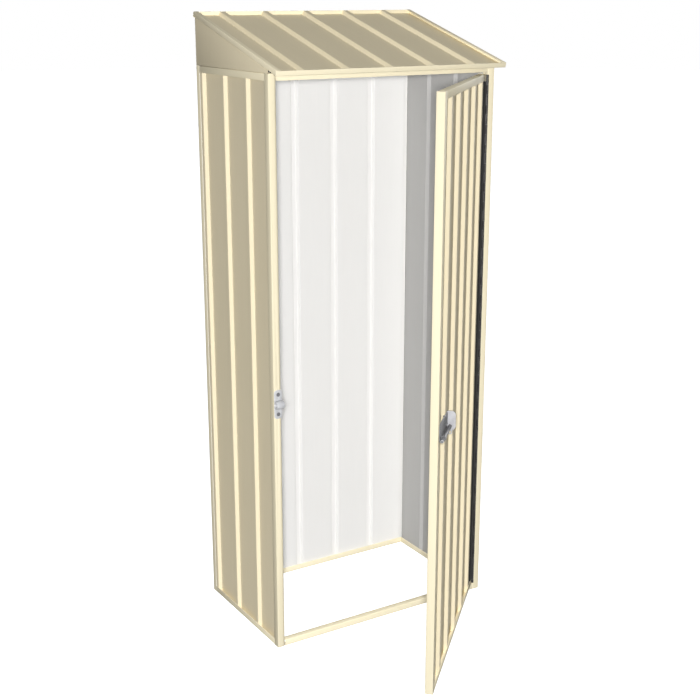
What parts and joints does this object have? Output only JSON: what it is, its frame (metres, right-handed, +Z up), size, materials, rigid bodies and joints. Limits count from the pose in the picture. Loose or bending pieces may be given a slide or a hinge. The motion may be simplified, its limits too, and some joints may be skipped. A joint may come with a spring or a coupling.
{
  "type": "garden locker",
  "caption": "Narrow upright steel garden locker with ribbed walls, a lean-to roof, an open base and one ribbed door on a continuous hinge, closed by a sliding bolt.",
  "frame": {"origin": "middle of the underside of the front threshold, on the floor", "axes": "+Z up, +Y from the front to the back of the locker, +X to the right of someone who faces the door"},
  "size_m": [0.786, 0.9844, 1.9133],
  "materials": {
    "cream_frame": "satin cream colour coat on folded steel",
    "coated_sheet": "matt tan coat outside, near-white backing coat inside",
    "dark_hinge": "dark semi-gloss coat",
    "dark_foam": "matt dark closed-cell foam",
    "plain_steel": "plain bright steel",
    "zinc_fittings": "dull zinc plating"
  },
  "bodies": {
    "frame": {"front_threshold": "cream_frame", "base_channel_left": "cream_frame", "base_channel_right": "cream_frame", "base_channel_back": "cream_frame", "front_left_post": "cream_frame", "front_right_post": "cream_frame", "back_left_post": "cream_frame", "back_right_post": "cream_frame", "header_rail": "cream_frame", "side_rail_left": "cream_frame", "side_rail_right": "cream_frame", "back_top_rail": "cream_frame", "left_wall_sheet": "coated_sheet", "right_wall_sheet": "coated_sheet", "back_wall_sheet": "coated_sheet", "gable_infill_left": "coated_sheet", "gable_infill_right": "coated_sheet", "roof_sheet": "coated_sheet", "roof_barge_left": "cream_frame", "roof_barge_right": "cream_frame", "roof_front_trim": "cream_frame", "roof_back_trim": "cream_frame", "keeper_plate": "zinc_fittings", "keeper_loop": "zinc_fittings", "keeper_screw_1": "zinc_fittings", "keeper_screw_2": "zinc_fittings", "hinge_leaf_frame": "dark_hinge", "hinge_pin": "plain_steel", "frame_hinge_rivet_1": "plain_steel", "frame_hinge_rivet_2": "plain_steel", "frame_hinge_rivet_3": "plain_steel", "frame_hinge_rivet_4": "plain_steel", "frame_hinge_rivet_5": "plain_steel", "frame_hinge_rivet_6": "plain_steel"},
    "door": {"door_sheet": "coated_sheet", "door_hinge_stile": "cream_frame", "door_free_stile": "cream_frame", "door_top_rail": "cream_frame", "door_bottom_rail": "cream_frame", "door_edge_seal": "dark_foam", "hinge_leaf_door": "dark_hinge", "bolt_plate": "zinc_fittings", "bolt_ear": "zinc_fittings", "bolt_guide": "zinc_fittings", "door_hinge_rivet_1": "plain_steel", "door_hinge_rivet_2": "plain_steel", "door_hinge_rivet_3": "plain_steel", "door_hinge_rivet_4": "plain_steel", "door_hinge_rivet_5": "plain_steel", "door_hinge_rivet_6": "plain_steel", "bolt_screw_1": "zinc_fittings", "bolt_screw_2": "zinc_fittings", "bolt_screw_3": "zinc_fittings", "bolt_screw_4": "zinc_fittings"},
    "bolt": {"bolt_bar": "zinc_fittings", "bolt_pull": "zinc_fittings"}
  },
  "joints": [
    {"name": "door_hinge", "type": "hinge", "parent": "frame", "child": "door", "pos_m": [0.3617, -0.0138, 0.8775], "axis": [0, 0, 1], "range_deg": [-44.3, 125.7]},
    {"name": "bolt_slide", "type": "slide", "parent": "door", "child": "bolt", "axis": [-0.7157, -0.6984, 0], "range_m": [0, 0.03]}
  ]
}
